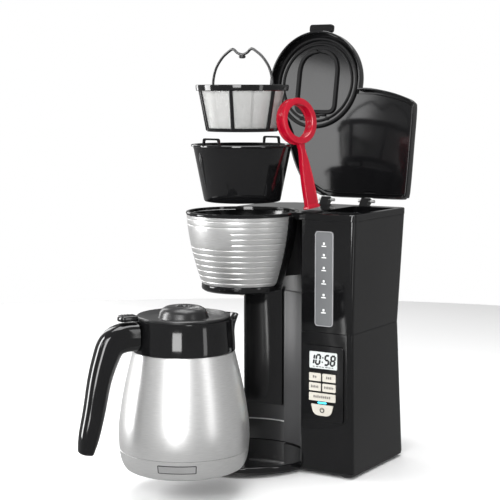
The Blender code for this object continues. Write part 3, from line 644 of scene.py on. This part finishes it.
def filter_pieces():
    axis = Vector((BREW.x, BREW.y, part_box("filter_frame")[0].z))
    rim = [(54.6, 50.4), (57.0, 50.4), (57.8, 51.0), (58.3, 54.4), (58.4, 56.4), (58.2, 57.5), (57.2, 58),
           (55, 58), (54.3, 57.2), (54.0, 51)]
    show(lathe("filter_rim", rim, axis, steps=120), "filter", "black_gloss", BLACK, "filter_frame")
    foot = [(34, 0.2), (44, 0), (45.0, 0.8), (45.7, 4.2), (44.6, 4.4), (43.4, 1.5), (34, 1.4)]
    show(lathe("filter_foot", foot, axis, steps=120), "filter", "black_gloss", BLACK)
    for number in range(6):
        a = math.radians(-73 + 60 * number)
        line = [polar(filter_radius(z) - 0.5, a, z) for z in (2, 15, 30, 45, 53)]
        rib = wire(f"filter_rib_{number + 1}", line, 2.5, axis)
        show(rib, "filter", "black_gloss", BLACK)
    sieve = [(0.5, 1.8), (43.0, 1.8), (filter_radius(57) - 1.9, 56.8), (filter_radius(57) - 2.2, 56.8),
             (42.7, 2.1), (0.5, 2.1)]
    show(lathe("filter_gauze", sieve, axis, steps=120), "filter", "mesh", GAUZE, "filter_mesh")
    tab = rounded([(-5, -6.5, 1), (5, -6.5, 1), (6, 0, 1), (-6, 0, 1)])
    turn = Matrix.Rotation(math.radians(62 + 90), 4, "Z") @ UPRIGHT
    spot = axis + polar(56.2, math.radians(62), 57.2) * MM
    show(plate("filter_side_tab", tab, spot, 1.6, 0.4, turn), "filter", "black_gloss", BLACK)
    bail_pieces()


def bail_pieces():
    base = Vector((BREW.x, BREW.y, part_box("bail_wire")[0].z + 1.3 * MM))
    a = math.radians(-11)
    half = [(-51, 0), (-50.4, 8), (-47.6, 18), (-42.5, 27), (-33, 37), (-22, 44), (-16.6, 46.2), (-13, 45),
            (-8, 41.4), (0, 39.3)]
    shape = half + [(-x, z) for x, z in half[-2::-1]]
    points = smooth_line([(math.cos(a) * x, math.sin(a) * x, z) for x, z in shape], 5)
    show(wire("bail_handle", points, 1.7, base), "bail", "black_gloss", SATIN, "bail_wire")
    grip = [(0.4, 34.4), (2.8, 34.6), (4.2, 35.6), (4.3, 37.2), (3.4, 38.6), (0.4, 39.0)]
    show(lathe("bail_button", grip, base, steps=32), "bail", "black_satin", SATIN, "bail_grip")


# Lid, drawn closed in the hinge's frame and turned open


LID = {joint["name"]: joint for joint in frame["joints"]}["lid_hinge"]
LID_AT = Vector(LID["pos_m"])
OPEN = Matrix.Rotation(math.radians(-LID["range_deg"][1]), 4, "X")


def lid_outline():
    """The disc over the brew head, joined to the panel over the tank."""
    centre = lid_centre()
    sweep = [centre + polar(70, math.radians(150 + 217 * i / 72)).xy for i in range(73)]
    shift = Vector((-centre.x - 154.0, 150))
    rest = [(-66, -1), (-38, 4), (-16, 10.5), (-5, 16), (-1.5, 25), (-1, 70), (-1, 136), (-5, 143),
            (-12, 145.5), (-60, 145.5)]
    rest += [(-118, 145.5), (-132, 143), (-152, 132), (-170, 108), (-184, 78), (-198, 48)]
    rest = [Vector(point) - shift for point in rest]
    line = smooth_line([(p.x, p.y, 0) for p in [sweep[-1], *rest, sweep[0]]], 3)[1:-1]
    return sweep + [Vector((p.x, p.y)) for p in line]


def lid_centre():
    return Vector(((BREW.x - LID_AT.x) / MM, (BREW.y - LID_AT.y) / MM))


def ring_path(name, outline, height, radius):
    """A raised bead that follows an outline under the lid."""
    points = [OPEN @ p for p in at(outline, height)]
    return wire(name, [*points, points[0]], radius, LID_AT, 10)


LID_LOW, LID_TOP, LID_WALL = -4.2, 11.0, 2.4  # heights from the hinge's axis, and the thickness
CEILING = LID_TOP - LID_WALL
LUGS = (-120.0, -60.0)


def lid_pieces():
    edge = lid_outline()
    centre = lid_centre()
    lid_cover(edge)
    lid_ridges(centre)
    lid_arch(centre)
    show(ring_path("lid_lip_line", inset(edge, 7.0), CEILING - 0.6, 1.1), "lid", "black_gloss", MATT)
    fittings(centre)
    tab = box_outline(centre.x - 18, centre.x + 18, centre.y - 80, centre.y - 69, 4)
    sections = [at(inset(tab, 0.8), LID_TOP - 9.4), at(tab, LID_TOP - 8.4), at(tab, LID_TOP - 3.6)]
    sections.append(at(inset(tab, 1.2), LID_TOP - 2.4))
    show(skin("lid_finger_catch", sections, LID_AT, False, 50, OPEN), "lid", "black_gloss", BLACK)


def lid_cover(edge):
    """The hollow lid, with room cut for the hinge lugs."""
    low, top, wall = LID_LOW, LID_TOP, LID_WALL
    hollow = inset(edge, wall)
    sections = [at(hollow, top - wall), at(hollow, low + 0.5), at(inset(edge, wall - 0.5), low),
                at(inset(edge, 0.5), low)]
    sections += [at(edge, low + 0.5), at(edge, top - 5), at(inset(edge, 0.5), top - 2.6),
                 at(inset(edge, 1.6), top - 1)]
    sections += [at(inset(edge, 3.4), top - 0.2), at(inset(edge, 5.4), top)]
    shell = skin("lid_cover", sections, LID_AT, False, 50, OPEN)
    for x in LUGS:
        gap = box_outline(x - 8, x + 8, -14, 2, 1, 3)
        room = skin(f"lug_room_{int(-x)}", [at(gap, h) for h in (-8, 9)], LID_AT, False, 50, OPEN)
        cut = shell.modifiers.new(room.name, "BOOLEAN")
        cut.object = room
        cut.operation = "DIFFERENCE"
    bpy.context.view_layer.update()
    settle(shell)
    show(shell, "lid", "black_gloss", BLACK, "lid_shell")


def lid_ridges(centre):
    for name, reach, height, thick in (("outer", 60.5, CEILING - 3.6, 2.4),
                                       ("inner", 53, CEILING - 2.4, 1.9)):
        circle = [centre + polar(reach, a).xy for a in angles(96)]
        bead = ring_path(f"lid_{name}_ridge", circle, height, thick)
        replaced = ["lid_seal"] if name == "outer" else []
        show(bead, "lid", "rubber" if replaced else "black_gloss", MATT, *replaced)


def lid_arch(centre):
    """The arch-shaped recess over the spray arm, a rim with a smoky floor."""
    corners = [(-29, -40, 10), (29, -40, 10), (29, 10, 2), (29, 43, 30), (-29, 43, 30), (-29, 10, 2)]
    arch = rounded(corners, 10)
    arch = [centre + Vector((p.x, -p.y)) for p in arch][::-1]
    depth = 5.2
    rows = [at(inset(arch, -3.5), CEILING), at(inset(arch, -3.2), CEILING - depth + 1)]
    rows += [at(inset(arch, -2.4), CEILING - depth), at(inset(arch, 1.4), CEILING - depth)]
    rows += [at(inset(arch, 2.4), CEILING - depth + 1.0), at(inset(arch, 3.2), CEILING)]
    rim = skin("lid_arch_rim", rows, LID_AT, True, 40, OPEN)
    show(rim, "lid", "black_gloss", MATT, "spray_recess_rim")
    floor = inset(arch, 3.4)
    sections = [at(floor, CEILING - 0.4), at(floor, CEILING - 1.2), at(inset(floor, 0.8), CEILING - 1.6)]
    show(skin("lid_arch_floor", sections, LID_AT, False, 50, OPEN), "lid", "black_gloss", SMOKE)


def settle(piece):
    """Applies the modifiers and drops their cutters."""
    graph = bpy.context.evaluated_depsgraph_get()
    data = bpy.data.meshes.new_from_object(piece.evaluated_get(graph))
    cutters = [modifier.object for modifier in piece.modifiers if modifier.type == "BOOLEAN"]
    piece.modifiers.clear()
    piece.data = data
    for cutter in cutters:
        bpy.data.objects.remove(cutter)
    piece.data.shade_smooth()
    piece.data.set_sharp_from_angle(angle=math.radians(40))


def fittings(centre):
    """Clips and a cross bar below the arch, where the lid meets the water outlet."""
    clips = ((-13, 43, 9, 6, 4.6), (13, 43, 9, 6, 4.6), (0, 46, 16, 4, 3.2), (-20, 49, 6, 5, 3.6),
             (20, 49, 6, 5, 3.6))
    for number, (x, y, wide, deep, tall) in enumerate(clips):
        outline = box_outline(x - wide / 2, x + wide / 2, y - deep / 2, y + deep / 2, 1.2, 4)
        outline = [centre + p for p in outline]
        rows = [at(outline, CEILING), at(outline, CEILING - tall + 0.6),
                at(inset(outline, 0.6), CEILING - tall)]
        show(skin(f"lid_clip_{number + 1}", rows, LID_AT, False, 50, OPEN), "lid", "black_gloss", MATT)


# Red spray arm


ARM_FACES, ARM_LEANS, ARM_TIPS = 74, -6.6, -7.9  # degrees about Z, Y and X
RING_HEIGHT = 110.6


def arm_pieces():
    """The soft arm: a flaring stem and a deep ring held upright, turned towards the filter."""
    low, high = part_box("arm_socket")
    base = Vector(((low.x + high.x) / 2 - 1.0 * MM, (low.y + high.y) / 2, high.z + 2.8 * MM))
    turn = Matrix.Rotation(math.radians(ARM_FACES), 4, "Z")
    turn = turn @ Matrix.Rotation(math.radians(ARM_LEANS), 4, "Y")
    turn = turn @ Matrix.Rotation(math.radians(ARM_TIPS), 4, "X") @ UPRIGHT
    profile = [(20.8, -6.2), (21.6, -7), (27.4, -7), (28.6, -6.2), (28.9, -4.6), (27.2, -3.8), (27.0, 3.8),
               (28.9, 4.6)]
    profile += [(28.6, 6.2), (27.4, 7), (21.6, 7), (20.8, 6.2), (20.8, 4.8), (22.0, 4.0), (22.0, -4.0),
                (20.8, -4.8)]
    band = []
    for a in angles(72):
        band.append([(r * math.sin(a), RING_HEIGHT + r * math.cos(a), z) for r, z in profile])
    rows = smooth_line([(9.6, 2.0, 0), (9.4, 14, 0), (8.6, 34, 0), (6.4, 56, 0), (4.0, 72, 0),
                        (5.2, 84.0, 0)], 6)
    stem = [[(p.x, row.y, p.y) for p in box_outline(-row.x, row.x, -3.4, 3.4, 1.6, 4)] for row in rows]
    flange = []
    for wide, z, thick in ((10.4, 0.6, 4.8), (10.6, 3.4, 4.8), (8.8, 5.6, 3.8)):
        flange.append([(p.x, z, p.y) for p in box_outline(-wide, wide, -thick, thick, 1.6, 4)])
    show_soft(skin("spray_ring", band, base, True, 40, turn), "spray_arm")
    show_soft(skin("spray_stem", stem, base, False, 50, turn))
    show_soft(skin("spray_foot", flange, base, False, 50, turn))
    for side, name in ((-1, "left"), (1, "right")):
        points = [turn @ Vector((side * (row.x - 1.0), row.y, 3.2)) for row in rows[2:-5]]
        show_soft(wire("spray_stem_bead_" + name, points, 0.9, base, 10))


def show_soft(piece, *replaced):
    show(piece, "machine", "red", RED, *replaced)
    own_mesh(piece)


# Tower front and bay


DIGITS = {"0": "abcdef", "1": "bc", "5": "afgcd", "8": "abcdefg"}
SEGMENTS = {
    "a": ((0, 2), (1, 2)), "b": ((1, 2), (1, 1)), "c": ((1, 1), (1, 0)), "d": ((0, 0), (1, 0)),
    "e": ((0, 1), (0, 0)), "f": ((0, 2), (0, 1)), "g": ((0, 1), (1, 1)),
}
SLANT = 0.15  # run per rise of the clock's digits
DIGIT_WIDE, DIGIT_HALF, DIGIT_LOW = 5.3, 6.0, 5.4


def display_pieces():
    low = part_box("display_screen")[0]
    x = -0.4
    face = Vector((low.x, low.y - 0.05 * MM, low.z))
    count = 0
    for letter in "10:58":
        if letter == ":":
            for z in (7.6, 13.2):
                dot = box_outline(x + z * SLANT, x + 1.7 + z * SLANT, z, z + 1.9, 0.3, 2)
                count += 1
                show(plate(f"display_dot_{count}", dot, face, 0.16, 0.05, UPRIGHT), "machine", "lcd", INK)
            x += 4.0
            continue
        for key in DIGITS[letter]:
            (x0, z0), (x1, z1) = SEGMENTS[key]
            start = Vector((x + x0 * DIGIT_WIDE, DIGIT_LOW + z0 * DIGIT_HALF))
            end = Vector((x + x1 * DIGIT_WIDE, DIGIT_LOW + z1 * DIGIT_HALF))
            count += 1
            segment(f"display_segment_{count}", start, end, face)
        x += 8.4
    for number in range(7):
        left = 5.0 + number * 4.4
        bar = box_outline(left, left + (3.4 if number % 3 else 2.4), 1.9, 2.8, 0.3, 2)
        show(plate(f"display_footnote_{number + 1}", bar, face, 0.14, 0.04, UPRIGHT), "machine", "lcd", INK)


def segment(name, start, end, face):
    along = (end - start).normalized()
    side = Vector((-along.y, along.x)) * 1.2
    start, end = start + along * 0.2, end - along * 0.2
    corners = [start, start + along * 0.7 - side, end - along * 0.7 - side, end]
    corners += [end - along * 0.7 + side, start + along * 0.7 + side]
    corners = [Vector((p.x + p.y * SLANT, p.y)) for p in corners]
    show(plate(name, corners, face, 0.16, 0.04, UPRIGHT), "machine", "lcd", INK)


def window_pieces():
    low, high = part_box("sight_window")
    wide, tall = (high.x - low.x) / MM, (high.z - low.z) / MM
    edge = box_outline(0, wide, 0, tall, 5)
    rows = [at(edge, 0.0), at(edge, 1.2), at(inset(edge, 0.25), 1.6), at(inset(edge, 0.8), 1.6),
            at(inset(edge, 1.1), 1.0)]
    rows.append(at(inset(edge, 1.1), 0.0))
    trim_face = Vector((low.x, FRONT + 0.3 * MM, low.z))
    show(skin("window_rim", rows, trim_face, True, 40, UPRIGHT), "machine", "clear", TRIM)
    pane = plate("window_pane", inset(edge, 1.2), Vector((low.x, high.y, low.z)), 3.0, 0.4, UPRIGHT)
    show(pane, "machine", "clear", GLASS, "sight_window")
    front = Vector((low.x, high.y - 3.02 * MM, low.z))
    for number, share in enumerate((0.84, 0.72, 0.585, 0.445, 0.3, 0.14)):
        bar = box_outline(wide * 0.36, wide * 0.62, tall * share, tall * share + 1.1, 0.3, 2)
        show(plate(f"level_mark_{number + 1}", bar, front, 0.14, 0.04, UPRIGHT), "machine", "clear", MARK)
        tick = box_outline(wide * 0.44, wide * 0.54, tall * share + 2.4, tall * share + 5.2, 0.4, 2)
        show(plate(f"level_cup_{number + 1}", tick, front, 0.14, 0.04, UPRIGHT), "machine", "clear", MARK)


# For each key, how many blocks and what share of its width they take
KEY_PRINTS = {"hour": (2, 0.36), "minute": (3, 0.44), "program": (5, 0.66), "auto": (6, 0.74),
              "strength": (9, 0.66)}


def key_pieces():
    """Short printed blocks where the real keys have words, and the power sign."""
    for name, (count, share) in KEY_PRINTS.items():
        low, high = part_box(name + "_key")
        wide, tall = (high.x - low.x) / MM, (high.z - low.z) / MM
        face = Vector((low.x, low.y - 0.02 * MM, low.z))
        step = wide * share / count
        for number in range(count):
            x = wide * (1 - share) / 2 + step * number
            top = tall * (0.66 if number % 2 else 0.7)
            bar = box_outline(x, x + step * 0.72, tall * 0.38, top, 0.3, 2)
            piece = plate(f"{name}_key_print_{number + 1}", bar, face, 0.1, 0.03, UPRIGHT)
            show(piece, name + "_key_body", "key", PRINT)
    low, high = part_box("power_key")
    centre = Vector(((low.x + high.x) / 2, low.y - 0.02 * MM, low.z + 7.0 * MM))
    turns = [math.radians(120 + 300 * i / 24) for i in range(25)]
    loop = [Vector((2.7 * math.cos(a), 0, 2.7 * math.sin(a))) for a in turns]
    show(wire("power_ring", loop, 0.6, centre, 8), "power_key_body", "key", INK)
    stroke = [Vector((0, 0, 1.0)), Vector((0, 0, 3.4))]
    show(wire("power_stroke", stroke, 0.6, centre, 8), "power_key_body", "key", INK)


def trims():
    """The bay's bright inlay and the grey pillar at its right."""
    axis = Vector((BREW.x, BREW.y, 0))
    inlay = [(85.2, 42.0), (87.6, 42.0), (87.6, 43.0), (85.2, 43.0)]
    show(lathe("bay_inlay", inlay, axis, 44, 116, 48), "machine", "steel", BAND)
    rows = []
    for degrees in (46, 48, 52, 58, 64, 70, 76, 79, 80.6, 81.4):
        top = 219 - 14 * max(0.0, (60 - degrees) / 14) ** 2 - (1.5 if degrees > 81 else 0)
        a = math.radians(degrees)
        loop = [(84.8, 16), (85.4, 15), (87.6, 15), (87.6, top), (85.4, top), (84.8, top - 1)]
        rows.append([polar(r, a, z) for r, z in loop])
    show(skin("bay_pillar", rows, axis, sharp=40), "machine", "black_gloss", PILLAR)


# Studio


# Name, place and size in metres, power in watts
LAMPS = (
    ("left_softbox", (-1.8, -0.9, 0.75), (0.7, 1.7), 55),
    ("front_strip", (0.8, -2.35, 0.9), (0.9, 1.9), 60),
    ("right_strip", (1.9, -0.35, 0.7), (0.3, 1.7), 5),
    ("back_strip", (-1.9, 0.9, 0.9), (0.5, 1.6), 9),
    ("front_softbox", (0.0, -2.2, 1.5), (0.8, 0.7), 6),
    ("lid_card", (-1.25, -1.8, 1.1), (0.4, 0.4), 2.0),
    ("top_softbox", (0.0, 0.1, 2.1), (1.5, 1.5), 42),
)
LAMP_AIM = Vector((0, 0, 0.25))
CAMERA_PLACE = (0.908, -1.464, 0.479)
CAMERA_LENS = 100.3
CAMERA_TURN, CAMERA_PITCH = 31.8, 6.47  # degrees to the right of the front, and down


def studio():
    disc = [polar(1500, a).xy for a in angles(96)]
    floor = plate("studio_floor", disc, (0, 0, -0.0121), 12.0, 1.0)
    paper = Look("studio_paper", (0.92, 0.92, 0.92), 0.6)
    paper.vary(paper.noise(paper.coords(), 2.0), "Fac", "Roughness", 0.5, 0.65)
    floor.data.materials.append(paper.made)
    floor.visible_glossy = False
    surroundings()
    for name, place, size, power in LAMPS:
        lamp(name, place, size, power)
    bpy.context.scene.view_settings.view_transform = "Standard"


def surroundings():
    """A white backdrop to the camera and a dim room to everything else."""
    world = bpy.data.worlds.new("studio")
    bpy.context.scene.world = world
    world.use_nodes = True
    tree = world.node_tree
    seen, room = tree.nodes["Background"], tree.nodes.new("ShaderNodeBackground")
    for node, strength in ((seen, 1.0), (room, ROOM_LIGHT)):
        node.inputs["Color"].default_value = (1, 1, 1, 1)
        node.inputs["Strength"].default_value = strength
    rays = tree.nodes.new("ShaderNodeLightPath")
    mix = tree.nodes.new("ShaderNodeMixShader")
    tree.links.new(rays.outputs["Is Camera Ray"], mix.inputs["Fac"])
    tree.links.new(room.outputs["Background"], mix.inputs[1])
    tree.links.new(seen.outputs["Background"], mix.inputs[2])
    tree.links.new(mix.outputs["Shader"], tree.nodes["World Output"].inputs["Surface"])


def lamp(name, place, size, power):
    data = bpy.data.lights.new(name, "AREA")
    data.shape = "RECTANGLE"
    data.size, data.size_y = size
    data.energy = power
    made = bpy.data.objects.new(name, data)
    bpy.context.scene.collection.objects.link(made)
    made.location = place
    made.rotation_euler = (LAMP_AIM - Vector(place)).to_track_quat("-Z", "Y").to_euler()


def camera():
    data = bpy.data.cameras.new("camera")
    data.lens = CAMERA_LENS
    data.sensor_width = 36
    made = bpy.data.objects.new("camera", data)
    bpy.context.scene.collection.objects.link(made)
    made.location = CAMERA_PLACE
    made.rotation_euler = (math.radians(90) - math.radians(CAMERA_PITCH), 0, math.radians(CAMERA_TURN))
    bpy.context.scene.camera = made


camera()
paint_frame()
carafe_pieces()
head_pieces()
basket_pieces()
filter_pieces()
lid_pieces()
arm_pieces()
display_pieces()
window_pieces()
key_pieces()
trims()
studio()
